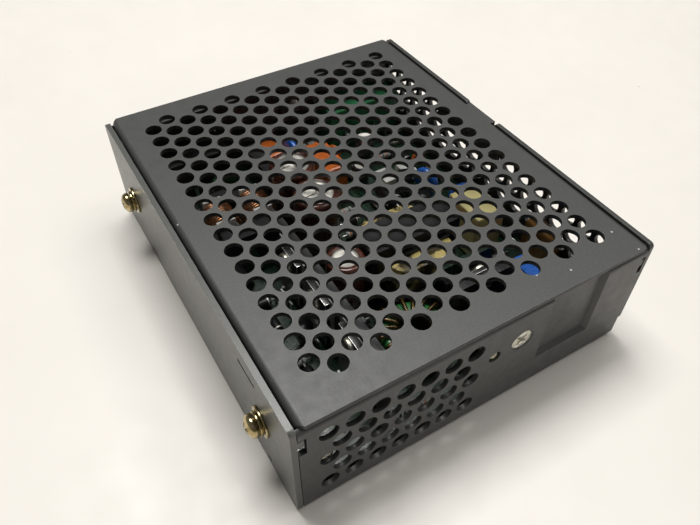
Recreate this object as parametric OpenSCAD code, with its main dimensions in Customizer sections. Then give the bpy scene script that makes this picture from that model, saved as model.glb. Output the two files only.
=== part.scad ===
// DIN rail power supply: a folded sheet case with vents, lying on its blank side,
// around a switching supply on one circuit board.
// +Z points up through the vented cover, +X to the end with the lamp and the stamped recess,
// -Y to the wall that takes the rail bracket. The origin is in the middle of the base face.

/* [Case] */
// Length of the case, along X
case_l = 113; // [113:0.5:116]
// Width of the case over its two side walls, along Y
case_w = 96; // [96:0.5:98]
// Height of the case
case_h = 33; // [33:0.5:35]
// Sheet thickness of the base, the cover and the vented wall
sheet = 1.2; // [1:0.1:1.3]
// Sheet thickness of the wall that carries the rail bracket
rail_sheet = 1.4; // [1.2:0.1:1.6]
// Outer radius of the folds
fold_r = 1.3; // [1.3:0.1:2]

/* [Vents] */
// Diameter of the round vent holes
vent_d = 4.6; // [3:0.1:4.8]
// Distance between holes in one row
vent_pitch = 6; // [6:0.05:6.1]
// Distance between rows, which are staggered by half a pitch
vent_row = 5; // [5:0.05:5.1]

/* [Recess and lamp] */
// Width of the recess stamped into the end plate
recess_w = 17; // [12:0.5:18]
// Depth of the recess
recess_depth = 1.2; // [0.8:0.1:1.5]
// Height of the lower edge of the recess
recess_z = 10.2; // [8:0.2:14]
// Diameter of the lamp
led_d = 3; // [2.8:0.1:3.1]

/* [Rail bracket screws] */
// Distance between the two bracket screws, along X
rail_screw_spacing = 82; // [76:0.5:86]
// Thread diameter of the bracket screws
rail_screw_d = 3; // [3:0.1:3.4]
// Outside diameter of their flat washers
rail_washer_d = 7.6; // [7:0.1:8]

/* [Circuit board] */
// Height of the board's underside above the base face
board_z = 4.4; // [4.2:0.1:4.8]
// Thickness of the board
board_t = 1.6; // [1.2:0.1:1.6]
// Diameter of the two mains capacitors
bulk_d = 12.6; // [10:0.2:13]
// Height of the two mains capacitors
bulk_h = 22; // [16:0.5:23]
// Side of the square trimmer
trimmer_side = 9.5; // [9:0.1:9.6]

/* [Hidden] */
$fn = 48;
eps = 0.01;
half_l = case_l / 2;
half_w = case_w / 2;
mid_z = case_h / 2;

// The cover lies on the end plates' inward flanges, between the two side walls.
plate_top = case_h - sheet;
flange = 6.5;
rail_wall_in = -half_w + rail_sheet;
vented_wall_in = half_w - sheet;
plate_y0 = rail_wall_in + 0.2;
plate_y1 = vented_wall_in - 0.1;
cover_y0 = rail_wall_in + 0.6;
cover_y1 = vented_wall_in - 0.2;
cover_x0 = -half_l;
cover_x1 = half_l - 0.3;
lip_z = 27;
lip_half_l = half_l - sheet - 0.8;
plate_in = half_l - sheet;

// The vent fields' middles.
cover_vents = [-0.8, 0.3];
end_vents = [-21.7, 16.5];
wall_vents = [-0.8, 18.4];

// Things fixed to the end plates: the countersunk screw and the lamp.
end_screw = [10.2, 21.8];
led_pos = [2.4, 21];
recess_y = 25.5;
m3_r = 1.5;
m3_head_r = 2.8;
m3_head_t = 1.9;
lug_z = 17;
slot_z = [23.4, 29];

// The rail wall's screws.
rail_mid_x = 0.9;
rail_screw_x = [rail_mid_x - rail_screw_spacing / 2, rail_mid_x + rail_screw_spacing / 2];
flat_washer_t = 0.6;
spring_washer_t = 0.9;
spring_washer_r = 2.95;
rail_head_r = 2.8;
rail_head_t = 2.4;

// The board and its fixings.
board_x = [-54, 54];
board_y = [-44, 44.6];
board_top = board_z + board_t;
film_t = 0.3;
standoffs = [[-38, -38], [-38, 39], [49, -38], [49, 38]];
standoff_r = 2.75;

// Connectors at the rear end: [middle y, width, number of poles, pitch].
header_x = [-half_l + 0.4, -half_l + 12.4];
header_z1 = 20;
header_wall = 1.2;
input_row = [-29.5, 25, 3, 7.62];
output_row = [31.4, 26, 4, 5.08];
pin_side = 1;

// Components: places on the board.
choke = [-19, -25.6];
bulk_caps = [[-19, -8.4], [-5.2, -8.4]];
sink_x = [-5, 48];
sink_y = [-22.4, -19.4];
sink_z = [8, 26];
sink_parts_x = [8, 22, 38];
tab_screw_z = 21.5;
transformer = [15, 7];
second_sink = [38, 15];
inductor = [36.7, -5];
trimmer = [38.2, 30];
trimmer_z = 13.4;
trimmer_t = 4.8;
trimmer_rotor_r = 2.6;
output_caps = [[45.5, 10], [45.5, 20.6]];
can_r = 5;

// ---- Helpers ----

// A box given by its ranges on the three axes.
module block(x, y, z) {
    translate([x[0], y[0], z[0]])
        cube([x[1] - x[0], y[1] - y[0], z[1] - z[0]]);
}

// A range of a given width around a middle.
function around(mid, width) = [mid - width / 2, mid + width / 2];

// A rectangle with round corners, centred in x, with its lower edge on y = 0.
module round_rect(w, h, r) {
    translate([-w / 2 + r, 0]) square([w - 2 * r, h]);
    translate([-w / 2, r]) square([w, h - 2 * r]);
    for (x = [-w / 2 + r, w / 2 - r], y = [r, h - r])
        translate([x, y]) circle(r);
}

// What rounds off an upper corner at the origin, when cut from a plate that lies towards side.
module round_off(side, r) {
    difference() {
        translate([side > 0 ? -1 : -r, -r]) square([r + 1, r + 1]);
        translate([side * r, -r]) circle(r);
    }
}

// Staggered rows of round holes around the origin. Rows have n or n - 1 holes by turns.
module vent_field(rows, n, short_first) {
    for (i = [0:rows - 1]) {
        count = n - (i + (short_first ? 1 : 0)) % 2;
        for (k = [0:count - 1])
            translate([(k - (count - 1) / 2) * vent_pitch, (i - (rows - 1) / 2) * vent_row])
                circle(d = vent_d);
    }
}

// Extrudes a YZ outline towards +X from x.
module from_x(x, length) {
    translate([x, 0, 0]) rotate([90, 0, 90]) linear_extrude(length) children();
}

// Extrudes an XZ outline towards -Y from y.
module from_y(y, length) {
    translate([0, y, 0]) rotate([90, 0, 0]) linear_extrude(length) children();
}

// A cross recess for a driver, cut along Z below the origin.
module cross_recess(size, depth) {
    for (a = [0, 90])
        rotate(a) translate([-size / 2, -size / 8, -depth]) cube([size, size / 4, depth + 1]);
}

// A pan head screw: head above the origin, shank below it.
module pan_screw(head_r, head_t, shank_r, shank_l) {
    difference() {
        union() {
            cylinder(r = head_r, h = head_t * 0.6);
            translate([0, 0, head_t * 0.6])
                cylinder(r1 = head_r, r2 = head_r * 0.62, h = head_t * 0.4);
        }
        translate([0, 0, head_t]) cross_recess(head_r * 1.15, head_t * 0.55);
    }
    translate([0, 0, -shank_l]) cylinder(r = shank_r, h = shank_l + eps);
}

// An upright can capacitor on the board.
module can(pos, r, h) {
    translate([pos[0], pos[1], board_top]) {
        cylinder(r = r - 0.4, h = h);
        translate([0, 0, 0.8]) cylinder(r = r, h = h - 1.2);
    }
}

// ---- Case ----

// The recess: a shallow frustum with 45 degree sides, open at the plate's top edge.
module recess_volume(depth, grow) {
    half = recess_w / 2 + grow;
    low = recess_z - grow;
    intersection() {
        linear_extrude(case_h)
            polygon([[half_l + 1, recess_y - half - 1], [half_l + 1, recess_y + half + 1],
                     [half_l - depth, recess_y + half - depth],
                     [half_l - depth, recess_y - half + depth]]);
        from_y(half_w, case_w)
            polygon([[half_l + 1, low - 1], [half_l + 1, case_h], [half_l - depth, case_h],
                     [half_l - depth, low + depth]]);
    }
}

// Everything cut through one end plate at x, whose outer face looks towards side.
module end_cuts(side) {
    x0 = side > 0 ? half_l - 3 : -half_l - 1;
    if (side > 0) from_x(x0, 4) translate(end_vents) vent_field(5, 7, false);
    block([x0, x0 + 4], [plate_y0 - 1, -44.6], slot_z);
    block([x0, x0 + 4], [45.1, plate_y1 + 1], slot_z + [1.2, 0.8]);
}

// The base: floor, both end plates and their flanges, folded from one sheet.
module base_frame() {
    boss = recess_depth + sheet;
    color([0.30, 0.30, 0.29])
    difference() {
        union() {
            from_y(plate_y1, plate_y1 - plate_y0)
                difference() {
                    round_rect(case_l, plate_top, fold_r);
                    translate([0, sheet])
                        round_rect(2 * plate_in, plate_top - 2 * sheet, fold_r - sheet);
                    translate([-half_l + flange, plate_top - 2 * sheet])
                        square([case_l - 2 * flange, 3 * sheet]);
                }
            block([-plate_in + 1, plate_in - 1], [plate_y1 - sheet, plate_y1], [0, 9]);
            intersection() {
                recess_volume(boss, sheet * sqrt(2));
                block([half_l - boss, plate_in + eps], [0, half_w], [0, plate_top]);
            }
        }
        recess_volume(recess_depth, 0);
        end_cuts(1);
        end_cuts(-1);
        for (s = [-1, 1]) {
            // Flanges stop short of the cover's side lips and lugs.
            for (y = [[plate_y0 - 1, -42.5], around(end_screw[0], 11), [42.5, plate_y1 + 1]])
                block(around(s * (plate_in - flange / 2), flange), y, [plate_top - fold_r - 0.1, case_h]);
            // The countersunk screw's dished hole.
            translate([s * (half_l + eps), end_screw[0], end_screw[1]])
                rotate([0, -90 * s, 0])
                    cylinder(r1 = m3_head_r + 0.45, r2 = m3_r + 0.3, h = sheet + 2 * eps);
        }
        from_x(plate_in - 1, 3) translate(led_pos) circle(d = led_d + 0.3);
        for (row = [input_row, output_row])
            block([-half_l - 1, -plate_in + 1], around(row[0], row[1] + 0.4),
                  [board_top - 0.5, header_z1 + 0.2]);
        for (p = standoffs) translate([p[0], p[1], -1]) cylinder(r = 1.95, h = 3);
        // The fold along the vented wall is round outside.
        difference() {
            block([-case_l, case_l], [plate_y1 - 2, plate_y1 + 1], [-1, 2]);
            translate([-case_l, plate_y1 - 2, 2]) rotate([0, 90, 0]) cylinder(r = 2, h = 2 * case_l);
        }
    }
}

// The wall that carries the rail bracket: plate, floor flange, end tabs, screw holes and slits.
module rail_wall() {
    x0 = -half_l + 0.6;
    color([0.32, 0.32, 0.31]) {
        from_y(rail_wall_in, rail_sheet)
            difference() {
                translate([(x0 + half_l) / 2, 0]) round_rect(half_l - x0, case_h, 1.2);
                for (x = rail_screw_x) translate([x, mid_z]) circle(d = rail_screw_d + 0.5);
                translate([32.6, 27.2]) square([8.2, 1.1]);
                translate([42.4, 1.6]) square([1.8, 1.4]);
            }
        block([-52, 52], [rail_wall_in - eps, rail_wall_in + 5.4], [sheet, sheet + rail_sheet]);
        for (x = [[x0, -half_l + 1.8], [half_l - 1.1, half_l]])
            block(x, [rail_wall_in - eps, rail_wall_in + 1.5], [26.6, 28.8]);
    }
}

// The opposite wall, vented, with a notch for the cover's tongue and flanges behind both end plates.
module vented_wall() {
    color([0.30, 0.30, 0.29]) {
        from_y(half_w, sheet)
            difference() {
                translate([0, 5.4]) round_rect(case_l - 0.4, case_h - 5.4, 1.2);
                translate(wall_vents) vent_field(3, 18, false);
                translate([-12.6, case_h - 1.6]) square([12.2, 3]);
                for (s = [-1, 1]) translate([-6.5 + s * 6.1, case_h]) round_off(s, 1.2);
            }
        for (s = [-1, 1]) {
            block(around(s * (plate_in - 0.7), 1.2), [plate_y1 - 1.5, vented_wall_in + eps], [10, 22]);
            block(around(s * (half_l - 0.8), 0.9), [plate_y1 - 1.2, vented_wall_in + eps], [26.4, 28.6]);
        }
    }
}

// The vented cover: panel, rounded side folds, a tongue, a deep side lug and two screwed end lugs.
module top_cover() {
    cut = 1.5;
    mid_y = (cover_y0 + cover_y1) / 2;
    color([0.36, 0.365, 0.355])
    difference() {
        union() {
            intersection() {
                translate([-half_l, 0, 0]) rotate([90, 0, 90]) linear_extrude(case_l)
                    translate([mid_y, lip_z - 10])
                        difference() {
                            round_rect(cover_y1 - cover_y0, case_h - lip_z + 10, fold_r);
                            translate([0, -1])
                                round_rect(cover_y1 - cover_y0 - 2 * sheet,
                                           case_h - lip_z + 11 - sheet, fold_r - sheet);
                            translate([-case_w, -1]) square([2 * case_w, 11]);
                        }
                union() {
                    block([-lip_half_l, lip_half_l], [-half_w, half_w], [0, plate_top + eps]);
                    linear_extrude(case_h + 1)
                        polygon([[cover_x0 + cut, cover_y0], [cover_x1 - cut, cover_y0],
                                 [cover_x1, cover_y0 + cut], [cover_x1, cover_y1 - cut],
                                 [cover_x1 - cut, cover_y1], [cover_x0 + cut, cover_y1],
                                 [cover_x0, cover_y1 - cut], [cover_x0, cover_y0 + cut]]);
                }
            }
            // The tongue in the vented wall's notch, and the deep lug under it.
            block([-12, -1], [cover_y1 - 3, cover_y1 + 0.9], [plate_top, case_h]);
            block([-24, 4.6], [cover_y1 - sheet, cover_y1], [20.4, lip_z + eps]);
            for (s = [-1, 1])
                block(around(s * (plate_in - 0.1 - sheet / 2), sheet), around(end_screw[0], 9.6),
                      [lug_z, plate_top + eps]);
        }
        // Only the panel takes the vents.
        translate([cover_vents[0], cover_vents[1], plate_top - eps])
            linear_extrude(sheet + 1) vent_field(16, 17, true);
        // Above the end plates only the panel is left.
        for (s = [-1, 1]) {
            block(around(s * (plate_in + 2), 4.2), [-half_w, half_w], [0, plate_top]);
            translate([s * plate_in, end_screw[0], end_screw[1]])
                rotate([0, 90, 0]) cylinder(r = m3_r - 0.05, h = 6, center = true);
        }
    }
}

// A film between the base and the board's solder side.
module insulating_film() {
    color([0.12, 0.12, 0.12])
    difference() {
        block([-53, 53], [-40.8, 43.5], [sheet, sheet + film_t]);
        for (p = standoffs) translate([p[0], p[1], 0]) cylinder(r = standoff_r + 0.5, h = 3);
    }
}

// ---- Rail bracket screws ----

// Places its children at both bracket screws, with Z pointing out of the wall from depth y.
module at_rail_screws(y) {
    for (x = rail_screw_x) translate([x, y, mid_z]) rotate([90, 0, 0]) children();
}

module rail_press_nuts() {
    color([0.72, 0.66, 0.42])
    at_rail_screws(rail_wall_in + 2.6)
        difference() {
            cylinder(r = 3.1, h = 2.6);
            translate([0, 0, -1]) cylinder(d = rail_screw_d + 0.1, h = 5);
        }
}

module rail_flat_washers() {
    color([0.74, 0.66, 0.38])
    at_rail_screws(-half_w)
        difference() {
            cylinder(d = rail_washer_d, h = flat_washer_t);
            translate([0, 0, -1]) cylinder(d = rail_screw_d + 0.3, h = 4);
        }
}

module rail_spring_washers() {
    color([0.70, 0.62, 0.36])
    at_rail_screws(-half_w - flat_washer_t)
        difference() {
            cylinder(r = spring_washer_r, h = spring_washer_t);
            translate([0, 0, -1]) cylinder(d = rail_screw_d + 0.2, h = 4);
            rotate(200) translate([1.5, -0.35, -1]) cube([4, 0.7, 4]);
        }
}

module rail_screws() {
    out = half_w + flat_washer_t + spring_washer_t;
    color([0.76, 0.69, 0.42])
    at_rail_screws(-out)
        pan_screw(rail_head_r, rail_head_t, rail_screw_d / 2, out + rail_wall_in + 3.4);
}

// The countersunk screws that hold the cover's end lugs.
module cover_screws() {
    head_h = 0.7 * (m3_head_r - m3_r);
    color([0.80, 0.79, 0.75])
    for (s = [-1, 1])
        translate([s * (half_l - 0.3), end_screw[0], end_screw[1]]) rotate([0, 90 * s, 0])
            difference() {
                union() {
                    translate([0, 0, -head_h]) cylinder(r1 = m3_r - 0.1, r2 = m3_head_r, h = head_h);
                    translate([0, 0, -5]) cylinder(r = m3_r - 0.1, h = 5 - head_h + eps);
                }
                cross_recess(3.2, 0.9);
            }
}

// ---- Board ----

module board_standoffs() {
    color([0.72, 0.72, 0.70])
    for (p = standoffs) translate([p[0], p[1], sheet])
        difference() {
            union() {
                cylinder(r = standoff_r, h = board_z - sheet);
                translate([0, 0, 0.1 - sheet]) cylinder(r = 1.9, h = sheet);
            }
            cylinder(r = m3_r - 0.05, h = 9, center = true);
        }
}

module circuit_board() {
    color([0.07, 0.28, 0.14])
    difference() {
        block(board_x, board_y, [board_z, board_top]);
        for (p = standoffs) translate([p[0], p[1], 0]) cylinder(r = m3_r + 0.1, h = 9);
        block([board_x[0] - 1, -50], [plate_y0, -43], [0, 9]);
        block([50, board_x[1] + 1], [plate_y0, -43], [0, 9]);
    }
}

module board_screws() {
    color([0.78, 0.77, 0.73])
    for (p = standoffs) translate([p[0], p[1], board_top]) pan_screw(m3_head_r, m3_head_t, m3_r - 0.1, 4);
}

// ---- Rear connectors ----

// A plug-in header: a shroud open towards -X, with its back wall on the board side.
module header(row) {
    y = around(row[0], row[1]);
    difference() {
        block(header_x, y, [board_top, header_z1]);
        block([header_x[0] - 1, header_x[1] - 3], [y[0] + header_wall, y[1] - header_wall],
              [board_top + 1.4, header_z1 - header_wall]);
        for (k = [0:row[2] - 1])
            translate([header_x[1] - 3.5, pole_y(row, k), board_top + 5])
                rotate([0, 90, 0]) cylinder(r = pin_side * 0.8, h = 9);
    }
}

function pole_y(row, k) = row[0] + (k - (row[2] - 1) / 2) * row[3];

// The header's bent pins: a contact into the shroud, and a leg down through the board.
module header_pins(row) {
    for (k = [0:row[2] - 1]) {
        y = around(pole_y(row, k), pin_side);
        block([header_x[0] + 1.5, header_x[1] + 1.6], y, around(board_top + 5, pin_side));
        block([header_x[1] + 0.6, header_x[1] + 1.6], y, [board_z - 1.5, board_top + 5]);
    }
}

module input_header() { color([0.10, 0.10, 0.10]) header(input_row); }
module input_pins() { color([0.80, 0.79, 0.75]) header_pins(input_row); }
module output_header() { color([0.16, 0.46, 0.26]) header(output_row); }
module output_pins() { color([0.80, 0.79, 0.75]) header_pins(output_row); }

// ---- Input stage ----

fuse_x = around(-19, 20);
fuse_yz = [-40.3, 10.4];

module fuse_tube() {
    color([0.9, 0.92, 0.92, 0.5])
    translate([fuse_x[0] + 5, fuse_yz[0], fuse_yz[1]]) rotate([0, 90, 0])
        difference() {
            cylinder(r = 2.4, h = 10);
            translate([0, 0, -1]) cylinder(r = 1.7, h = 12);
        }
}

module fuse_caps() {
    color([0.80, 0.80, 0.78])
    for (x = [fuse_x[0], fuse_x[1] - 5])
        translate([x, fuse_yz[0], fuse_yz[1]]) rotate([0, 90, 0]) cylinder(r = 2.6, h = 5);
}

module fuse_clips() {
    color([0.76, 0.75, 0.70])
    for (x = [fuse_x[0] + 1, fuse_x[1] - 4])
        difference() {
            block([x, x + 3], around(fuse_yz[0], 6.6), [board_top, fuse_yz[1] + 2]);
            block([x - 1, x + 4], around(fuse_yz[0], 5.2), [board_top + 0.8, fuse_yz[1] + 3]);
        }
}

// A disc component on two leads: a flat round body standing across the X or Y axis.
module disc_part(pos, r, t, turn) {
    translate([pos[0], pos[1], board_top + 2 + r]) rotate([0, 0, turn]) rotate([90, 0, 0])
        cylinder(r = r, h = t, center = true);
    for (s = [-1, 1])
        translate([pos[0], pos[1], board_z - 1]) rotate([0, 0, turn])
            translate([s * r * 0.55, 0, 0]) cylinder(r = 0.35, h = 4.6 + r * 0.4);
}

module thermistor() { color([0.16, 0.22, 0.16]) disc_part([-37, -22], 5, 4, 90); }
module varistor() { color([0.10, 0.30, 0.66]) disc_part([-38.5, 1.2], 6, 3.2, 0); }
module safety_capacitors() {
    color([0.12, 0.36, 0.72]) {
        disc_part([-9, 31.5], 4.4, 3.2, 15);
        disc_part([1, 37], 4, 3, 80);
    }
}

module suppression_capacitors() {
    color([0.86, 0.40, 0.14]) {
        block(around(-28, 15), around(7, 7.5), [board_top, 19]);
        block(around(-44, 10), around(-4, 6.5), [board_top, 16]);
    }
}

choke_leg = 5.2;
choke_span = 21;

// The common mode choke: a rectangular ferrite ring with a bobbin on each long leg.
module choke_core() {
    color([0.20, 0.20, 0.20])
    difference() {
        block(around(choke[0], choke_span), around(choke[1], 16), around(16, choke_leg));
        block(around(choke[0], choke_span - 2 * choke_leg), around(choke[1], 16 - 2 * choke_leg), [0, case_h]);
    }
}

choke_legs_y = [choke[1] - (16 - choke_leg) / 2, choke[1] + (16 - choke_leg) / 2];

module choke_bobbins() {
    flange_r = 5.2;
    color([0.90, 0.89, 0.85])
    for (y = choke_legs_y)
        translate([choke[0], y, 16]) rotate([0, 90, 0])
            difference() {
                union() {
                    for (z = [-5.2, 4.3]) translate([-flange_r, -2.65, z]) cube([2 * flange_r, 5.3, 0.9]);
                    cylinder(r = 4, h = 9, center = true);
                }
                cube([choke_leg + 0.2, choke_leg + 0.1, 20], center = true);
            }
}

module choke_windings() {
    color([0.72, 0.38, 0.20])
    for (y = choke_legs_y)
        translate([choke[0], y, 16]) rotate([0, 90, 0])
            difference() {
                cylinder(r = 5.1, h = 8.2, center = true);
                cylinder(r = 4, h = 12, center = true);
            }
}

module bridge_rectifier() {
    color([0.09, 0.09, 0.09]) block(around(-34, 15), around(-11, 4.2), [board_top + 3, 21]);
    color([0.75, 0.75, 0.72])
    for (k = [0:3]) translate([-34 + (k - 1.5) * 3.8, -11, board_z - 1]) cylinder(r = 0.45, h = 5.7);
}

module bulk_capacitors() {
    color([0.42, 0.16, 0.10])
    for (p = bulk_caps) can(p, bulk_d / 2, bulk_h);
}

// ---- Power stage ----

module primary_heatsink() {
    color([0.16, 0.16, 0.16])
    difference() {
        union() {
            block(sink_x, sink_y, sink_z);
            for (x = [sink_x[0] + 4, sink_x[1] - 4])
                block(around(x, 2.4), around((sink_y[0] + sink_y[1]) / 2, 1.2), [board_z - 1, sink_z[0] + eps]);
        }
        for (x = sink_parts_x)
            translate([x, sink_y[0] - 1, tab_screw_z]) rotate([-90, 0, 0]) cylinder(r = m3_r - 0.05, h = 6);
    }
}

// A TO-220 package standing against a plane at y = 0 with its body towards -Y.
module to220() {
    difference() {
        block([-5, 5], [-1.3, 0], [9, 24.4]);
        translate([0, -5, tab_screw_z]) rotate([-90, 0, 0]) cylinder(r = 1.8, h = 9);
    }
    block([-5, 5], [-4.5, -0.6], [9, 18.2]);
    for (x = [-2.54, 0, 2.54]) block(around(x, 0.8), [-2.7, -2.2], [board_z - 1, 9 + eps]);
}

module power_transistors() {
    color([0.12, 0.12, 0.12])
    for (x = sink_parts_x) translate([x, sink_y[0] - 0.3, 0]) to220();
}

module transistor_pads() {
    color([0.62, 0.62, 0.60])
    for (x = sink_parts_x)
        difference() {
            block(around(x, 13), [sink_y[0] - 0.3, sink_y[0]], [9, 25.4]);
            translate([x, sink_y[0] - 1, tab_screw_z]) rotate([-90, 0, 0]) cylinder(r = 1.7, h = 3);
        }
}

module transistor_screws() {
    color([0.78, 0.77, 0.73])
    for (x = sink_parts_x)
        translate([x, sink_y[0] - 1.6, tab_screw_z])
            rotate([90, 0, 0]) pan_screw(m3_head_r, m3_head_t, m3_r - 0.1, 4);
}

module auxiliary_capacitor() { color([0.34, 0.12, 0.10]) can([15.8, -11.9], can_r, 18); }

core_w = 10;
core_l = 27;
core_z = [8, 25.5];
leg = 3.6;

// The transformer: a closed ferrite core, the bobbin on its middle leg and the taped winding.
module transformer_core() {
    color([0.17, 0.17, 0.18])
    difference() {
        block(around(transformer[0], core_w), around(transformer[1], core_l), core_z);
        for (s = [-1, 1])
            block(around(transformer[0], core_w + 1),
                  around(transformer[1] + s * (core_l / 4 + leg / 4), core_l / 2 - 1.5 * leg),
                  [core_z[0] + leg, core_z[1] - leg]);
    }
}

module transformer_bobbin() {
    inner = [core_w + 0.2, 2 * leg + 0.4];
    color([0.13, 0.13, 0.13])
    translate([transformer[0], transformer[1], 0])
        difference() {
            union() {
                block(around(0, 23), around(0, core_l - 2 * leg - 0.3),
                      [core_z[0] + leg, core_z[0] + leg + 0.8]);
                block(around(0, core_w + 2), around(0, core_l - 2 * leg - 0.3),
                      [core_z[1] - leg - 0.8, core_z[1] - leg]);
                block(around(0, inner[0] + 1.6), around(0, inner[1] + 1.4), [core_z[0] + leg, core_z[1] - leg]);
                for (x = [-10.4, 10.4], k = [-2:2])
                    block(around(x, 0.8), around(k * 3.6, 0.8), [board_z - 1, core_z[0] + leg + eps]);
            }
            block(around(0, inner[0] - 0.2), around(0, inner[1] - 0.4), [0, case_h]);
        }
}

module transformer_winding() {
    wind = [22, core_l - 2 * leg - 0.8];
    z0 = core_z[0] + leg + 0.8;
    color([0.90, 0.84, 0.52])
    translate([transformer[0], transformer[1], z0])
        linear_extrude(core_z[1] - leg - 0.8 - z0)
            difference() {
                translate([0, -wind[1] / 2]) round_rect(wind[0], wind[1], 5);
                square([core_w + 1.8, 2 * leg + 1.8], center = true);
            }
}

module control_board() {
    color([0.08, 0.30, 0.16]) block([28, 29.4], [7.5, 24], [board_z - 1, 21]);
}

module control_chips() {
    color([0.08, 0.08, 0.08])
    for (y = [11, 18.5]) block([29.4, 30.9], around(y, 4.8), around(14, 5));
}

module secondary_heatsink() {
    color([0.18, 0.18, 0.18])
    difference() {
        union() {
            block(around(second_sink[0], 2), around(second_sink[1], 18), [8, 24]);
            for (s = [-1, 1])
                block(around(second_sink[0], 1.2), around(second_sink[1] + s * 7, 2.2), [board_z - 1, 8 + eps]);
        }
        translate([second_sink[0] - 3, second_sink[1], tab_screw_z])
            rotate([0, 90, 0]) cylinder(r = m3_r - 0.05, h = 6);
    }
}

module output_rectifier() {
    color([0.12, 0.12, 0.12])
    translate([second_sink[0] - 1, second_sink[1], 0]) rotate([0, 0, -90]) to220();
}

module rectifier_screw() {
    color([0.78, 0.77, 0.73])
    translate([second_sink[0] - 2.3, second_sink[1], tab_screw_z])
        rotate([0, -90, 0]) pan_screw(m3_head_r, m3_head_t, m3_r - 0.1, 3.2);
}

// ---- Output stage ----

// The output inductor: a ring core lying on the board under its winding.
module inductor_core() {
    color([0.12, 0.36, 0.16])
    translate([inductor[0], inductor[1], board_top + 1.6])
        difference() {
            cylinder(r = 8.6, h = 7);
            translate([0, 0, -1]) cylinder(r = 4.6, h = 9);
        }
}

module inductor_winding() {
    color([0.52, 0.34, 0.18])
    translate([inductor[0], inductor[1], board_top])
        for (k = [0:13]) rotate(k * 360 / 14 + 8)
            difference() {
                block([3.4, 9.9], [-0.6, 0.6], [0.2, 10]);
                block([4.5, 8.65], [-1, 1], [1.55, 8.65]);
            }
}

module output_capacitors() {
    color([0.10, 0.12, 0.12])
    for (p = output_caps) can(p, can_r, 17);
}

module relay_box() { color([0.88, 0.84, 0.56]) block([7, 20], [27, 36.5], [board_top + 0.3, 21]); }
module film_capacitor() { color([0.62, 0.34, 0.10]) block([25, 35], [39.6, 43.8], [board_top + 1, 20]); }
module optocouplers() {
    color([0.86, 0.85, 0.80])
    for (y = [24.5, 32]) {
        block(around(-20, 6.4), around(y, 4.6), [board_top + 0.6, board_top + 4]);
        for (s = [-1, 1], k = [-1, 1])
            block(around(-20 + s * 3.8, 0.6), around(y + k * 1.27, 0.5), [board_z - 1, board_top + 2.4]);
    }
}

// The voltage trimmer: a square body facing the vented wall, and its slotted rotor.
module trimmer_body() {
    color([0.08, 0.28, 0.70]) {
        difference() {
            block(around(trimmer[0], trimmer_side), around(trimmer[1], trimmer_t),
                  around(trimmer_z, trimmer_side));
            translate([trimmer[0], trimmer[1] + 0.6, trimmer_z]) rotate([-90, 0, 0])
                cylinder(r = trimmer_rotor_r + 0.05, h = trimmer_t);
        }
        for (x = [-2.5, 0, 2.5])
            translate([trimmer[0] + x, trimmer[1], board_z - 1])
                cylinder(r = 0.3, h = trimmer_z - trimmer_side / 2 - board_z + 1 + eps);
    }
}

module trimmer_rotor() {
    top = trimmer_t / 2 + 0.3;
    color([0.92, 0.90, 0.84])
    translate([trimmer[0], trimmer[1], trimmer_z]) rotate([-90, 0, 0])
        difference() {
            translate([0, 0, 0.65]) cylinder(r = trimmer_rotor_r, h = top - 0.65);
            translate([-1.9, -0.35, top - 0.9]) cube([3.8, 0.7, 2]);
        }
}

// The lamp behind the end plate, and the spacer that holds it up off the board.
module led_lamp() {
    color([0.70, 0.72, 0.42])
    translate([half_l - 5.4, led_pos[0], led_pos[1]]) rotate([0, 90, 0]) {
        cylinder(r = 1.9, h = 0.9);
        cylinder(d = led_d, h = 3.8);
        translate([0, 0, 3.8]) sphere(d = led_d);
    }
}

module led_spacer() {
    x = half_l - 5.4;
    color([0.12, 0.12, 0.12]) {
        block([x - 2.4, x], around(led_pos[0], 4), [board_top, led_pos[1] + 2]);
        block([x - 0.1, x + 1.6], around(led_pos[0], 4), [board_top, board_top + 1.4]);
    }
}

base_frame();
rail_wall();
vented_wall();
top_cover();
insulating_film();
rail_press_nuts();
rail_flat_washers();
rail_spring_washers();
rail_screws();
cover_screws();
board_standoffs();
circuit_board();
board_screws();
input_header();
input_pins();
output_header();
output_pins();
fuse_tube();
fuse_caps();
fuse_clips();
thermistor();
varistor();
suppression_capacitors();
choke_core();
choke_bobbins();
choke_windings();
bridge_rectifier();
bulk_capacitors();
primary_heatsink();
power_transistors();
transistor_pads();
transistor_screws();
auxiliary_capacitor();
transformer_core();
transformer_bobbin();
transformer_winding();
control_board();
control_chips();
secondary_heatsink();
output_rectifier();
rectifier_screw();
inductor_core();
inductor_winding();
output_capacitors();
relay_box();
film_capacitor();
safety_capacitors();
optocouplers();
trimmer_body();
trimmer_rotor();
led_lamp();
led_spacer();
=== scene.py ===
"""The looks of a DIN rail power supply: painted sheet, plated screws, and the board under the vents."""

import math

import bmesh
import bpy
import numpy as np
from mathutils import Matrix, Vector


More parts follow.
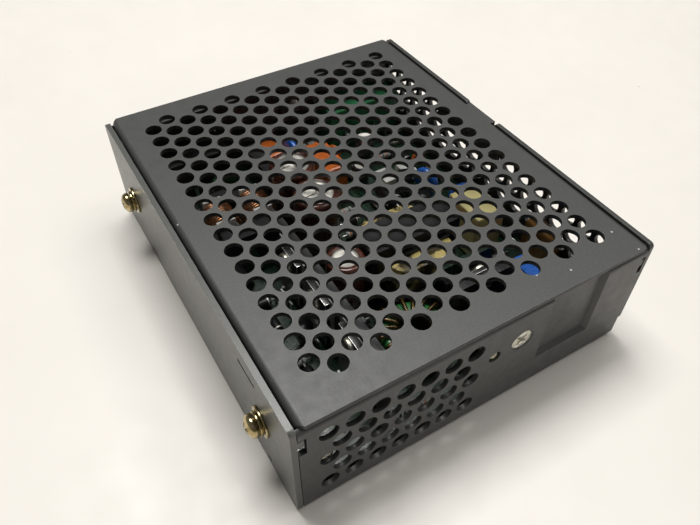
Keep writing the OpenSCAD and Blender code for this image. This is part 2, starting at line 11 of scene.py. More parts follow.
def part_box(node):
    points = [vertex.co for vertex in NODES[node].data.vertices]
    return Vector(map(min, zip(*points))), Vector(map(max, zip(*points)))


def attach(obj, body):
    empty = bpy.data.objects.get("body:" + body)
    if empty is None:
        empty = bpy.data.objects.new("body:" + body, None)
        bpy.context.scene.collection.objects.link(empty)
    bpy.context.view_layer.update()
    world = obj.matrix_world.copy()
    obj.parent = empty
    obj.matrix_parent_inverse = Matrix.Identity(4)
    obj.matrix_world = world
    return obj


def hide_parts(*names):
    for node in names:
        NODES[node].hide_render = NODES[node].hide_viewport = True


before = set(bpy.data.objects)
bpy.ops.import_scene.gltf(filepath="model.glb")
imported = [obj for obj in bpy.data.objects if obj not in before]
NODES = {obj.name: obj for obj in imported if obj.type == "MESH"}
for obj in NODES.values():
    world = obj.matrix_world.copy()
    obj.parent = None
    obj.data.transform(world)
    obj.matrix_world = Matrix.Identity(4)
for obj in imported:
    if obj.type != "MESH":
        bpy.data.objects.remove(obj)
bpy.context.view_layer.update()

MM = 0.001
CASE = "supply"
X, Y, Z = Vector((1, 0, 0)), Vector((0, 1, 0)), Vector((0, 0, 1))


# ---- Shading ----


class Look:
    """One procedural material: a Principled shader and the nodes that feed it. Sizes are in millimetres."""

    def __init__(self, name, **sockets):
        self.mat = bpy.data.materials.new(name)
        self.mat.use_nodes = True
        self.tree = self.mat.node_tree
        self.shader = self.tree.nodes["Principled BSDF"]
        self.place = self.add("ShaderNodeTexCoord").outputs["Object"]
        for socket, value in sockets.items():
            self.shader.inputs[socket.replace("_", " ")].default_value = value

    def add(self, kind, **settings):
        node = self.tree.nodes.new(kind)
        for key, value in settings.items():
            setattr(node, key, value)
        return node

    def put(self, value, socket):
        """Feeds a socket with another socket, a colour or a number."""
        if isinstance(value, bpy.types.NodeSocket):
            self.tree.links.new(value, socket)
        elif socket.type == "RGBA":
            socket.default_value = (*value, 1)
        else:
            socket.default_value = value

    def stretched(self, factors):
        """The place, scaled by a factor on each axis: small factors draw a pattern out."""
        node = self.add("ShaderNodeVectorMath", operation="MULTIPLY")
        self.put(self.place, node.inputs[0])
        node.inputs[1].default_value = factors
        return node.outputs[0]

    def noise(self, size, detail=2.0, stretch=None):
        """Smooth noise from about 0.3 to 0.7, with features of about the given size."""
        node = self.add("ShaderNodeTexNoise")
        self.put(self.stretched(stretch) if stretch else self.place, node.inputs["Vector"])
        node.inputs["Scale"].default_value = 1 / (size * MM)
        node.inputs["Detail"].default_value = detail
        node.inputs["Roughness"].default_value = 0.5
        return node.outputs["Fac"]

    def cells(self, size, output="Distance"):
        """Cells of about the given size: the distance from their middles, or a colour for each."""
        node = self.add("ShaderNodeTexVoronoi")
        self.put(self.place, node.inputs["Vector"])
        node.inputs["Scale"].default_value = 1 / (size * MM)
        return node.outputs[output]

    def ramp(self, value, low, high, dark=0.0, light=1.0):
        """A number that goes from dark to light as value goes from low to high."""
        node = self.add("ShaderNodeMapRange")
        self.put(value, node.inputs["Value"])
        for socket, number in zip(("From Min", "From Max", "To Min", "To Max"), (low, high, dark, light)):
            node.inputs[socket].default_value = number
        return node.outputs["Result"]

    def math(self, operation, a, b=0.0):
        """The result of one operation on two numbers."""
        node = self.add("ShaderNodeMath", operation=operation)
        self.put(a, node.inputs[0])
        self.put(b, node.inputs[1])
        return node.outputs[0]

    def mix(self, factor, a, b):
        """Colour a where the factor is 0 and b where it is 1."""
        node = self.add("ShaderNodeMix", data_type="RGBA")
        self.put(factor, node.inputs["Factor"])
        self.put(a, node.inputs[6])
        self.put(b, node.inputs[7])
        return node.outputs[2]

    def along(self, axis):
        """The place along X, Y or Z, in metres."""
        node = self.add("ShaderNodeSeparateXYZ")
        self.put(self.place, node.inputs[0])
        return node.outputs["XYZ".index(axis)]

    def facing(self, axis):
        """1 on faces that look along an axis, either way."""
        node = self.add("ShaderNodeSeparateXYZ")
        self.put(self.add("ShaderNodeTexCoord").outputs["Normal"], node.inputs[0])
        return self.ramp(self.math("ABSOLUTE", node.outputs["XYZ".index(axis)]), 0.75, 0.9)

    def stripes(self, axis, period, width):
        """1 on stripes of the given width, repeated along an axis, and 0 between them."""
        phase = self.math("FRACT", self.math("DIVIDE", self.along(axis), period * MM))
        return self.math("LESS_THAN", phase, width / period)

    def sharp_edges(self, radius):
        """1 on sharp outer and inner edges, fading to 0 on flats."""
        bevel = self.add("ShaderNodeBevel", samples=6)
        bevel.inputs["Radius"].default_value = radius * MM
        plain = self.add("ShaderNodeNewGeometry")
        dot = self.add("ShaderNodeVectorMath", operation="DOT_PRODUCT")
        self.put(bevel.outputs[0], dot.inputs[0])
        self.put(plain.outputs["Normal"], dot.inputs[1])
        return self.ramp(dot.outputs["Value"], 0.985, 0.86)

    def spots(self, places, radius):
        """1 inside small round marks at the given places, in millimetres, with ragged edges."""
        ragged = self.math("MULTIPLY", self.noise(0.35, 3), radius * 0.9 * MM)
        total = 0.0
        for place in places:
            away = self.add("ShaderNodeVectorMath", operation="DISTANCE")
            self.put(self.place, away.inputs[0])
            away.inputs[1].default_value = Vector(place) * MM
            edge = self.math("ADD", away.outputs["Value"], ragged)
            total = self.math("MAXIMUM", total, self.math("LESS_THAN", edge, radius * 1.4 * MM))
        return total

    def colour(self, value):
        self.put(value, self.shader.inputs["Base Color"])

    def rough(self, value):
        self.put(value, self.shader.inputs["Roughness"])

    def bump(self, height, depth, strength=1.0):
        """Relief, where a height of 1 stands depth millimetres above 0."""
        node = self.add("ShaderNodeBump")
        node.inputs["Strength"].default_value = strength
        node.inputs["Distance"].default_value = depth * MM
        self.put(height, node.inputs["Height"])
        self.put(node.outputs[0], self.shader.inputs["Normal"])


def painted_sheet(name, base, gloss, marks=(), shaded_edge=None):
    """Semi-gloss grey paint: faint mottling, a fine grain, a few chips, and edges lightened partly as
    rubbed paint, partly as a painted highlight.

    gloss is its lowest and highest roughness. shaded_edge is the height above which faces that look along X
    are darkened as painted shade, for the shadow gap under a sheared edge, in millimetres."""
    look = Look(name, Specular_IOR_Level=0.5)
    cloudy = look.ramp(look.noise(16, 4), 0.32, 0.68)
    fine = look.ramp(look.noise(0.5, 3), 0.34, 0.66)
    tint = look.mix(cloudy, [c * 0.94 for c in base], [c * 1.06 for c in base])
    tint = look.mix(look.math("MULTIPLY", fine, 0.35), tint, [c * 1.9 for c in base])
    if shaded_edge:
        # Painted shade: cut faces that look along X are darkened to stand in for the shadow in the gap
        # under the cover's edge.
        above = look.math("GREATER_THAN", look.along("Z"), shaded_edge * MM)
        tint = look.mix(look.math("MULTIPLY", look.facing("X"), above), tint, [c * 0.3 for c in base])
    # Partly painted highlight: sharp edges are lightened in ragged patches, standing in both for rubbed
    # paint and for the bright rim that the light draws along them.
    pale_edges = look.math("MULTIPLY", look.sharp_edges(0.16), look.ramp(look.noise(1.1, 4), 0.4, 0.6, 0.25, 0.9))
    tint = look.mix(pale_edges, tint, [c * 3.4 + 0.05 for c in base])
    if marks:
        tint = look.mix(look.spots(marks, 0.28), tint, (0.42, 0.43, 0.41))
    look.colour(tint)
    look.rough(look.ramp(look.noise(3.0, 5), 0.3, 0.7, *gloss))
    look.bump(look.noise(0.4, 2), 0.02, 0.5)
    return look.mat


def plated(name, base, tarnish, roughness=0.24):
    """Plated steel: a bright film that shifts in tint, with fine turning marks."""
    look = Look(name, Metallic=1.0)
    patches = look.ramp(look.noise(1.6, 4), 0.36, 0.62)
    stain = look.ramp(look.noise(0.45, 5), 0.55, 0.72, 0.0, 0.45)
    look.colour(look.mix(stain, look.mix(patches, base, tarnish), [c * 0.45 for c in tarnish]))
    look.rough(look.ramp(look.noise(0.7, 4), 0.3, 0.7, roughness * 0.75, roughness * 1.5))
    look.bump(look.noise(0.16, 3), 0.01, 0.35)
    return look.mat


def moulded(name, base, roughness=0.45, sheen=0.06, **sockets):
    """Moulded plastic: nearly even colour, fine spark texture, dust in a pale film."""
    look = Look(name, **sockets)
    dust = look.ramp(look.noise(2.5, 5), 0.5, 0.8, 0.0, 0.22)
    cloudy = look.ramp(look.noise(4, 3), 0.3, 0.7)
    shade = look.mix(cloudy, [c * 0.9 for c in base], [c * 1.08 for c in base])
    look.colour(look.mix(dust, shade, [c * 0.8 + sheen for c in base]))
    look.rough(look.ramp(look.noise(0.8, 3), 0.3, 0.7, roughness * 0.8, min(1.0, roughness * 1.2)))
    look.bump(look.noise(0.14, 2), 0.008, 0.5)
    return look.mat


def dipped(name, base, roughness=0.16):
    """Dip lacquer or cast epoxy: glossy, with orange peel and darker thick places."""
    look = Look(name, Coat_Weight=0.5, Coat_Roughness=0.08)
    deep = look.ramp(look.noise(3, 3), 0.3, 0.7)
    look.colour(look.mix(deep, [c * 0.75 for c in base], [min(1.0, c * 1.15) for c in base]))
    look.rough(look.ramp(look.noise(1.0, 2), 0.3, 0.7, roughness, roughness * 1.8))
    look.bump(look.noise(0.9, 2), 0.04, 0.4)
    return look.mat


def solder_mask(name, base):
    """A green board: tracks under the mask, bare pads and flux stains."""
    look = Look(name, Coat_Weight=0.1, Coat_Roughness=0.2)

    def rows(axis, pitch, half_width):
        """1 on the tracks that cross an axis, a pitch apart."""
        wave = look.math("PINGPONG", look.math("DIVIDE", look.along(axis), pitch * MM), 0.5)
        return look.mix(look.math("LESS_THAN", wave, half_width), (0, 0, 0), (1, 1, 1))

    zones = look.math("GREATER_THAN", look.cells(13, "Color"), 0.5)
    tracks = look.mix(zones, rows("Y", 2.2, 0.17), rows("X", 1.9, 0.19))
    pads = look.math("LESS_THAN", look.cells(4.6), 0.1)
    green = look.mix(tracks, base, [c * 1.75 + 0.004 for c in base])
    flux = look.ramp(look.noise(9, 5), 0.52, 0.7, 0.0, 0.4)
    stained = look.mix(flux, green, [c * 0.6 + 0.015 for c in base])
    look.colour(look.mix(pads, stained, (0.55, 0.54, 0.48)))
    look.put(look.math("MULTIPLY", pads, 0.9), look.shader.inputs["Metallic"])
    look.rough(look.ramp(look.noise(2, 4), 0.3, 0.7, 0.22, 0.42))
    look.bump(look.mix(pads, tracks, (1.4, 1.4, 1.4)), 0.03, 0.8)
    return look.mat


def enamelled_wire(name, base):
    """Copper wire under clear enamel, darker where the enamel is thick."""
    look = Look(name, Metallic=0.85, Coat_Weight=0.7, Coat_Roughness=0.1)
    thick = look.ramp(look.noise(1.2, 4), 0.3, 0.7)
    look.colour(look.mix(thick, [c * 0.6 for c in base], [min(1, c * 1.25) for c in base]))
    look.rough(look.ramp(look.noise(0.5, 2), 0.3, 0.7, 0.2, 0.4))
    look.bump(look.noise(0.25, 2), 0.015, 0.4)
    return look.mat


def wound_tape(name, base):
    """Layers of polyester tape: a glossy film with edges and trapped air, half covered by dark patches."""
    look = Look(name, Coat_Weight=0.6, Coat_Roughness=0.06)
    layer = look.stripes("Z", 2.9, 0.22)
    dark_patches = look.ramp(look.noise(5, 3), 0.46, 0.54, 0.94, 0.0)
    air = look.ramp(look.noise(1.6, 4, (0.4, 0.4, 1)), 0.5, 0.66, 0.0, 0.5)
    shade = look.mix(layer, base, [c * 0.62 for c in base])
    shade = look.mix(air, shade, [min(1, c * 1.3 + 0.05) for c in base])
    look.colour(look.mix(dark_patches, shade, (0.022, 0.016, 0.01)))
    look.rough(look.ramp(look.noise(1.5, 3), 0.3, 0.7, 0.18, 0.4))
    look.bump(look.math("ADD", look.noise(2.4, 5), look.math("MULTIPLY", layer, 0.5)), 0.12, 0.6)
    return look.mat


def sintered(name, base):
    """Ferrite: dark grey, finely granular, with chipped edges."""
    look = Look(name, Specular_IOR_Level=0.2)
    chips = look.math("MULTIPLY", look.sharp_edges(0.25), look.ramp(look.noise(0.6, 4), 0.45, 0.6))
    shade = look.mix(look.ramp(look.noise(0.25, 4), 0.35, 0.65), base, [c * 1.9 for c in base])
    look.colour(look.mix(chips, shade, [c * 3.2 + 0.02 for c in base]))
    look.rough(look.ramp(look.noise(0.5, 3), 0.3, 0.7, 0.4, 0.62))
    look.bump(look.noise(0.12, 4), 0.02, 0.7)
    return look.mat


def anodised(name, base):
    """Black anodised aluminium with drawing lines along its length."""
    look = Look(name, Metallic=0.55)
    lines = look.noise(0.5, 4, (0.03, 1, 1))
    pale_edges = look.math("MULTIPLY", look.sharp_edges(0.15), look.ramp(look.noise(0.9, 4), 0.4, 0.6, 0.2, 0.9))
    shade = look.mix(look.ramp(lines, 0.3, 0.7), [c * 0.8 for c in base], [c * 1.5 for c in base])
    look.colour(look.mix(pale_edges, shade, (0.45, 0.44, 0.42)))
    look.rough(look.ramp(lines, 0.3, 0.7, 0.34, 0.5))
    look.bump(lines, 0.02, 0.4)
    return look.mat


def drawn_metal(name, base, roughness):
    """Bare drawn aluminium with a fine matt grain."""
    look = Look(name, Metallic=0.7)
    lines = look.noise(0.3, 3)
    look.colour(look.mix(look.ramp(lines, 0.3, 0.7), [c * 0.82 for c in base], base))
    look.rough(look.ramp(lines, 0.3, 0.7, roughness * 0.8, roughness * 1.5))
    look.bump(lines, 0.012, 0.4)
    return look.mat


def shrunk_sleeve(name, base):
    """Heat shrunk film over a can, with fine lengthwise wrinkles."""
    look = Look(name, Coat_Weight=0.4, Coat_Roughness=0.1)
    wrinkle = look.noise(1.4, 3, (1, 1, 0.12))
    shade = look.ramp(wrinkle, 0.35, 0.65)
    look.colour(look.mix(shade, [c * 0.85 for c in base], [c * 1.15 for c in base]))
    look.rough(look.ramp(look.noise(1.0, 3), 0.3, 0.7, 0.2, 0.36))
    look.bump(wrinkle, 0.05, 0.35)
    return look.mat


def clear_lens(name, base):
    """A tinted epoxy lamp, unlit: cloudy inside and glossy outside."""
    look = Look(name, Transmission_Weight=0.35, IOR=1.5, Coat_Weight=0.5, Subsurface_Weight=0.2)
    look.shader.inputs["Subsurface Radius"].default_value = (0.002, 0.002, 0.001)
    look.colour(look.mix(look.ramp(look.noise(1.4, 2), 0.3, 0.7), [c * 0.8 for c in base], base))
    look.rough(look.ramp(look.noise(0.6, 2), 0.3, 0.7, 0.12, 0.22))
    look.bump(look.noise(0.8, 1), 0.02, 0.2)
    return look.mat


def glass(name):
    """Thin clear glass with a faint haze."""
    look = Look(name, Transmission_Weight=0.92, IOR=1.47)
    look.colour(look.mix(look.ramp(look.noise(3, 2), 0.3, 0.7), (0.86, 0.9, 0.88), (0.95, 0.97, 0.96)))
    look.rough(look.ramp(look.noise(1, 3), 0.4, 0.7, 0.02, 0.1))
    return look.mat


# Where the paint of the cover is chipped, and the height of its cut edges above the end plates. Above that
# height, faces that look along X are darkened: painted shade for the gap under the cover's edge.
COVER_CHIPS = [(49.5, 17.5, 33), (52.3, 25.2, 33), (-6.4, -45.2, 33), (48.2, 42.3, 33), (55.5, 43.4, 32.9)]
COVER_SHADED_EDGE = 31.9

MATS = {
    "cover_paint": painted_sheet("cover_paint", (0.044, 0.045, 0.043), (0.42, 0.52), COVER_CHIPS,
                                 COVER_SHADED_EDGE),
    "case_paint": painted_sheet("case_paint", (0.04, 0.041, 0.039), (0.36, 0.46)),
    # The rail wall has the case's paint drawn nearly twice as light: a painted reflection of the pale
    # table, which the wall faces at a grazing angle.
    "wall_paint": painted_sheet("wall_paint", (0.074, 0.077, 0.071), (0.3, 0.36)),
    "film": moulded("film", (0.03, 0.03, 0.03), 0.35),
    "yellow_zinc": plated("yellow_zinc", (0.68, 0.57, 0.33), (0.36, 0.28, 0.12), 0.15),
    "bright_zinc": plated("bright_zinc", (0.78, 0.77, 0.7), (0.66, 0.64, 0.52), 0.3),
    # The board's green is drawn far darker than a solder mask's own colour: painted shade for the dim
    # inside of the case.
    "board_green": solder_mask("board_green", (0.003, 0.022, 0.009)),
    "black_plastic": moulded("black_plastic", (0.007, 0.007, 0.008), 0.4, 0.015),
    "green_plastic": moulded("green_plastic", (0.03, 0.2, 0.08), 0.4),
    "tin": plated("tin", (0.74, 0.74, 0.71), (0.6, 0.6, 0.57), 0.32),
    "glass_tube": glass("glass_tube"),
    "dark_green_lacquer": dipped("dark_green_lacquer", (0.02, 0.05, 0.022)),
    "blue_lacquer": dipped("blue_lacquer", (0.015, 0.12, 0.5)),
    "orange_epoxy": dipped("orange_epoxy", (0.72, 0.17, 0.03)),
    "amber_epoxy": dipped("amber_epoxy", (0.26, 0.13, 0.035)),
    "ferrite": sintered("ferrite", (0.01, 0.01, 0.011)),
    "white_plastic": moulded("white_plastic", (0.72, 0.71, 0.66), 0.35, Subsurface_Weight=0.1),
    "copper_wire": enamelled_wire("copper_wire", (0.4, 0.19, 0.09)),
    "dark_wire": enamelled_wire("dark_wire", (0.12, 0.075, 0.025)),
    "capacitor_sleeve": shrunk_sleeve("capacitor_sleeve", (0.1, 0.03, 0.018)),
    "dark_sleeve": shrunk_sleeve("dark_sleeve", (0.02, 0.024, 0.03)),
    "black_aluminium": anodised("black_aluminium", (0.035, 0.035, 0.036)),
    "bare_aluminium": drawn_metal("bare_aluminium", (0.82, 0.8, 0.74), 0.5),
    "grey_pad": moulded("grey_pad", (0.3, 0.3, 0.29), 0.7),
    "yellow_tape": wound_tape("yellow_tape", (0.7, 0.56, 0.2)),
    "coated_core": dipped("coated_core", (0.03, 0.22, 0.05), 0.3),
    "cream_plastic": moulded("cream_plastic", (0.72, 0.62, 0.28), 0.35, Subsurface_Weight=0.1),
    "blue_plastic": moulded("blue_plastic", (0.02, 0.14, 0.6), 0.3),
    "resistor_body": moulded("resistor_body", (0.34, 0.38, 0.36), 0.4),
    "band_dark": moulded("band_dark", (0.05, 0.03, 0.02), 0.4),
    "band_warm": moulded("band_warm", (0.45, 0.12, 0.04), 0.4),
    "lamp_plastic": clear_lens("lamp_plastic", (0.66, 0.62, 0.36)),
}


def dress(node, material):
    """Gives a CAD node its material."""
    mesh = NODES[node].data
    mesh.materials.clear()
    mesh.materials.append(MATS[material])


def soften(node, width=0.15, segments=2):
    """Rounds a CAD node's sharp edges a little, as folded, moulded or deburred ones are."""
    obj = NODES[node]
    weld = obj.modifiers.new("weld", "WELD")
    weld.merge_threshold = 0.002 * MM
    bevel = obj.modifiers.new("bevel", "BEVEL")
    bevel.width = width * MM
    bevel.segments = segments
    bevel.limit_method = "ANGLE"
    bevel.angle_limit = math.radians(40)


# ---- Mesh helpers ----


class Build:
    """A mesh made of several shapes, each with its own material slot."""

    def __init__(self, name, *materials):
        self.bm = bmesh.new()
        self.name = name
        self.materials = materials

    def box(self, low, high, slot=0, bevel=0.0):
        """A box between two corners, with rounded edges."""
        middle = (Vector(low) + Vector(high)) / 2
        size = Vector(high) - Vector(low)
        matrix = Matrix.Translation(middle) @ Matrix.Diagonal((*size, 1))
        verts = bmesh.ops.create_cube(self.bm, size=1, matrix=matrix)["verts"]
        faces = {f for v in verts for f in v.link_faces}
        if bevel:
            edges = {e for v in verts for e in v.link_edges}
            rounded = bmesh.ops.bevel(self.bm, geom=list(edges), offset=bevel, segments=2,
                                      affect="EDGES", profile=0.6, clamp_overlap=True)
            faces = {f for f in faces if f.is_valid} | set(rounded["faces"])
        for f in faces:
            f.material_index = slot

    def lathe(self, origin, axis, profile, slots=0, sides=40):
        """Turns a profile of (radius, height) points about an axis.

        slots is one material slot, or one for each span of the profile."""
        along = Vector(axis).normalized()
        across = along.orthogonal().normalized()
        other = along.cross(across)
        rings = []
        for radius, height in profile:
            centre = Vector(origin) + along * height
            if radius < 1e-7:
                rings.append([self.bm.verts.new(centre)])
                continue
            turn = [2 * math.pi * k / sides for k in range(sides)]
            rings.append([self.bm.verts.new(centre + (across * math.cos(a) + other * math.sin(a)) * radius)
                          for a in turn])
        for i, (a, b) in enumerate(zip(rings, rings[1:])):
            slot = slots if isinstance(slots, int) else slots[i]
            for k in range(sides):
                n = (k + 1) % sides
                corners = [a[k % len(a)], a[n % len(a)], b[n % len(b)], b[k % len(b)]]
                unique = list(dict.fromkeys(corners))
                if len(unique) > 2:
                    self.bm.faces.new(unique).material_index = slot

    def tube(self, points, radius, slot=0, sides=8, closed=False):
        """A round rod along points, with flat ends unless it closes on itself."""
        count = len(points)
        rings = []
        across = None
        for i, p in enumerate(points):
            ahead = points[(i + 1) % count] if closed or i < count - 1 else p
            behind = points[i - 1] if closed or i > 0 else p
            along = (Vector(ahead) - Vector(behind)).normalized()
            across = along.orthogonal() if across is None else across - along * across.dot(along)
            across.normalize()
            other = along.cross(across)
            turn = [2 * math.pi * k / sides for k in range(sides)]
            ring = [Vector(p) + (across * math.cos(a) + other * math.sin(a)) * radius for a in turn]
            rings.append([self.bm.verts.new(place) for place in ring])
        spans = zip(rings, rings[1:] + rings[:1]) if closed else zip(rings, rings[1:])
        for a, b in spans:
            for k in range(sides):
                n = (k + 1) % sides
                self.bm.faces.new([a[k], a[n], b[n], b[k]]).material_index = slot
        if not closed:
            for ring in (rings[0], rings[-1]):
                self.bm.faces.new(ring).material_index = slot

    def link(self):
        """Makes the object in the scene."""
        bmesh.ops.recalc_face_normals(self.bm, faces=self.bm.faces)
        mesh = bpy.data.meshes.new(self.name)
        self.bm.to_mesh(mesh)
        self.bm.free()
        for name in self.materials:
            mesh.materials.append(MATS[name])
        obj = bpy.data.objects.new(self.name, mesh)
        bpy.context.scene.collection.objects.link(obj)
        return obj

    def finish(self, replaces=(), smooth=35):
        """Makes the object, lets it ride on the case and stand for CAD nodes."""
        for edge in self.bm.edges:
            edge.smooth = len(edge.link_faces) == 2 and edge.calc_face_angle(0) < math.radians(smooth)
        for f in self.bm.faces:
            f.smooth = True
        obj = self.link()
        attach(obj, CASE)
        if replaces:
            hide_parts(*replaces)
        return obj


def solids(node):
    """The separate solids of a CAD node, each as an array of its points, in order along X and then Y."""
    mesh = NODES[node].data
    places = np.array([v.co[:] for v in mesh.vertices])
    keys = [tuple(k) for k in np.round(places / 1e-6).astype(int)]
    index = {k: i for i, k in enumerate(dict.fromkeys(keys))}
    parent = list(range(len(index)))

    def root(i):
        while parent[i] != i:
            parent[i] = parent[parent[i]]
            i = parent[i]
        return i

    for edge in mesh.edges:
        a, b = (root(index[keys[v]]) for v in edge.vertices)
        parent[a] = b
    groups = {}
    for i, key in enumerate(keys):
        groups.setdefault(root(index[key]), []).append(places[i])
    found = [np.array(g) for g in groups.values()]
    return sorted(found, key=lambda g: (round(float(g[:, 0].min()), 4), round(float(g[:, 1].min()), 4)))


def box_of(points):
    """The lowest and highest corners of some points."""
    return Vector(points.min(axis=0)), Vector(points.max(axis=0))


def arc(centre, radius, start, end, steps):
    """Points of a (radius, height) profile round a corner, in degrees."""
    turn = [math.radians(start + (end - start) * i / steps) for i in range(steps + 1)]
    return [(centre[0] + radius * math.cos(a), centre[1] + radius * math.sin(a)) for a in turn]


def carve(obj, cutter):
    """Cuts one object with another and removes the cutter."""
    cut = obj.modifiers.new("cut", "BOOLEAN")
    cut.object = cutter
    cut.operation = "DIFFERENCE"
    cut.solver = "EXACT"
    made = bpy.data.meshes.new_from_object(obj.evaluated_get(bpy.context.evaluated_depsgraph_get()))
    obj.modifiers.remove(cut)
    obj.data = made
    bpy.data.objects.remove(cutter)


def cross_cutter(places, axis, size, depth):
    """A tapered cross driver tip at each place, pointing against the axis."""
    build = Build("cutter")
    along = Vector(axis)
    across = along.orthogonal().normalized()
    other = along.cross(across)
    arm, half = size / 2, size / 9
    plus = [(arm, half), (half, half), (half, arm), (-half, arm), (-half, half), (-arm, half),
            (-arm, -half), (-half, -half), (-half, -arm), (half, -arm), (half, -half), (arm, -half)]
    for place in places:
        rings = []
        for scale, level in ((1.25, depth * 0.5), (1.0, 0.0), (0.45, -depth)):
            centre = Vector(place) + along * level
            rings.append([build.bm.verts.new(centre + (across * a + other * b) * scale) for a, b in plus])
        for a, b in zip(rings, rings[1:]):
            for k in range(len(plus)):
                n = (k + 1) % len(plus)
                build.bm.faces.new([a[k], a[n], b[n], b[k]])
        build.bm.faces.new(rings[0])
        build.bm.faces.new(rings[-1])
    return build.link()


# ---- Case ----


def sheet_metal():
    """The four folded sheets keep their CAD shape, with softened edges."""
    for node, paint in (("base_frame", "case_paint"), ("rail_wall", "wall_paint"),
                        ("vented_wall", "case_paint"), ("top_cover", "cover_paint")):
        dress(node, paint)
        soften(node, 0.12)


def pan_heads(node, axis, material, head_height=1.9 * MM, shank_radius=1.4 * MM):
    """Pan head screws with a domed top and a cross recess, one on each solid of a CAD node."""
    build = Build(node + "_detail", material)
    out = Vector(axis)
    pitch = 0.5 * MM
    tips = []
    for points in solids(node):
        low, high = box_of(points)
        heights = points @ np.array(out)
        head_radius = max(map(abs, (high - low).cross(out))) / 2
        length = float(heights.max() - heights.min())
        top = (low + high) / 2
        top += out * (float(heights.max()) - top.dot(out))
        level = -length + shank_radius * 0.3
        profile = [(0, -length), (shank_radius * 0.8, -length), (shank_radius, level)]
        while level + pitch < -head_height:
            profile += [(shank_radius * 0.86, level + pitch / 2), (shank_radius, level + pitch)]
            level += pitch
        profile += [(shank_radius, -head_height), (head_radius * 0.97, -head_height)]
        profile += [(head_radius, -head_height * 0.92)]
        for i in range(11):
            turn = math.pi / 2 * i / 10
            profile.append((head_radius * math.cos(turn), head_height * 0.62 * (math.sin(turn) - 1)))
        build.lathe(top, out, profile, sides=48)
        tips.append(top - out * head_height * 0.02)
    obj = build.finish(replaces=(node,))
    carve(obj, cross_cutter(tips, out, head_radius * 1.15, head_height * 0.5))


def spring_washers():
    """Split rings, sprung a little open at the cut."""
    build = Build("rail_spring_washers_detail", "yellow_zinc")
    for points in solids("rail_spring_washers"):
        low, high = box_of(points)
        centre = (low + high) / 2
        outer = (high.x - low.x) / 2
        thick = high.y - low.y
        inner = 1.62 * MM
        side = thick * 0.78
        steps = 56
        rings = []
        for i in range(steps + 1):
            a = math.radians(208) + math.radians(349) * i / steps
            lift = (thick - side) * (i / steps - 0.5)
            out = Vector((math.cos(a), 0, math.sin(a)))
            corners = [(inner, -side / 2), (outer, -side / 2), (outer, side / 2), (inner, side / 2)]
            rings.append([build.bm.verts.new(centre + out * r + Y * (lift + h)) for r, h in corners])
        for a, b in zip(rings, rings[1:]):
            for k in range(4):
                build.bm.faces.new([a[k], a[(k + 1) % 4], b[(k + 1) % 4], b[k]])
        build.bm.faces.new(rings[0])
        build.bm.faces.new(rings[-1])
    obj = build.finish(replaces=("rail_spring_washers",), smooth=25)
    bevel = obj.modifiers.new("bevel", "BEVEL")
    bevel.width = 0.1 * MM
    bevel.segments = 2


def countersunk_screws():
    """Flat heads in the end plates: slightly crowned, with a cross recess and four short ticks."""
    build = Build("cover_screws_detail", "bright_zinc")
    tips = {1: [], -1: []}
    for points in solids("cover_screws"):
        low, high = box_of(points)
        centre = (low + high) / 2
        side = 1 if centre.x > 0 else -1
        out = X * side
        centre.x = high.x if side > 0 else low.x
        radius = (high.z - low.z) / 2
        length = high.x - low.x
        profile = [(0, -length), (1.35 * MM, -length), (1.4 * MM, -1.2 * MM), (radius * 0.98, -0.16 * MM),
                   (radius, -0.05 * MM), (radius * 0.93, 0), (radius * 0.5, 0.0), (0, 0.0)]
        build.lathe(centre, out, profile, sides=48)
        tips[side].append(centre)
    obj = build.finish(replaces=("cover_screws",))
    for side, places in tips.items():
        carve(obj, cross_cutter(places, X * side, 3.3 * MM, 1.1 * MM))
    ticks = Build("ticks")
    half = Vector((0.12, 0.14, 0.14)) * MM
    for place in tips[1] + tips[-1]:
        for k in range(4):
            middle = place + Matrix.Rotation(math.radians(45 + 90 * k), 4, "X") @ (Y * 1.7 * MM)
            ticks.box(middle - half, middle + half)
    carve(obj, ticks.link())


def case_hardware():
    """The screws, washers, nuts, spacers and film of the case."""
    pan_heads("rail_screws", (0, -1, 0), "yellow_zinc", 2.4 * MM, 1.5 * MM)
    pan_heads("board_screws", (0, 0, 1), "bright_zinc")
    spring_washers()
    countersunk_screws()
    for node in ("rail_flat_washers", "rail_press_nuts"):
        dress(node, "yellow_zinc")
        soften(node, 0.1)
    dress("board_standoffs", "bright_zinc")
    dress("insulating_film", "film")


# ---- Board parts ----


def cans(node, sleeve):
    """Electrolytic capacitors: a sleeve with a crimp at its foot, rolled over a scored aluminium top."""
    build = Build(node + "_detail", sleeve, "bare_aluminium")
    tops = []
    for points in solids(node):
        low, high = box_of(points)
        centre = Vector(((low.x + high.x) / 2, (low.y + high.y) / 2, low.z))
        r = (high.x - low.x) / 2
        h = high.z - low.z
        edge = min(0.9 * MM, r * 0.2)
        profile = [(0, 0), (r * 0.9, 0), (r, 0.5 * MM), (r, 2.2 * MM), (r * 0.93, 2.9 * MM), (r, 3.6 * MM)]
        profile += arc((r - edge, h - edge), edge, 0, 90, 6)
        profile += [(r - edge * 1.7, h), (r - edge * 1.8, h - 0.15 * MM)]
        sleeved = len(profile) - 1
        profile += [(r - edge * 2.0, h - 0.5 * MM), (r - edge * 2.6, h - 0.62 * MM)]
        profile += [(r * 0.3, h - 0.5 * MM), (0, h - 0.48 * MM)]
        bare = len(profile) - 1 - sleeved
        build.lathe(centre, Z, profile, [0] * sleeved + [1] * bare, sides=56)
        tops.append((centre + Z * (h - 0.5 * MM), r))
    obj = build.finish(replaces=(node,))
    scores = Build("scores")
    for top, r in tops:
        for k in range(3):
            turn = Matrix.Rotation(math.radians(30 + 120 * k), 4, "Z")
            start = len(scores.bm.verts)
            scores.box((r * 0.1, -0.14 * MM, -0.12 * MM), (r * 0.68, 0.14 * MM, 0.12 * MM))
            scores.bm.verts.ensure_lookup_table()
            added = scores.bm.verts[start:]
            bmesh.ops.transform(scores.bm, matrix=Matrix.Translation(top) @ turn, verts=added)
    carve(obj, scores.link())


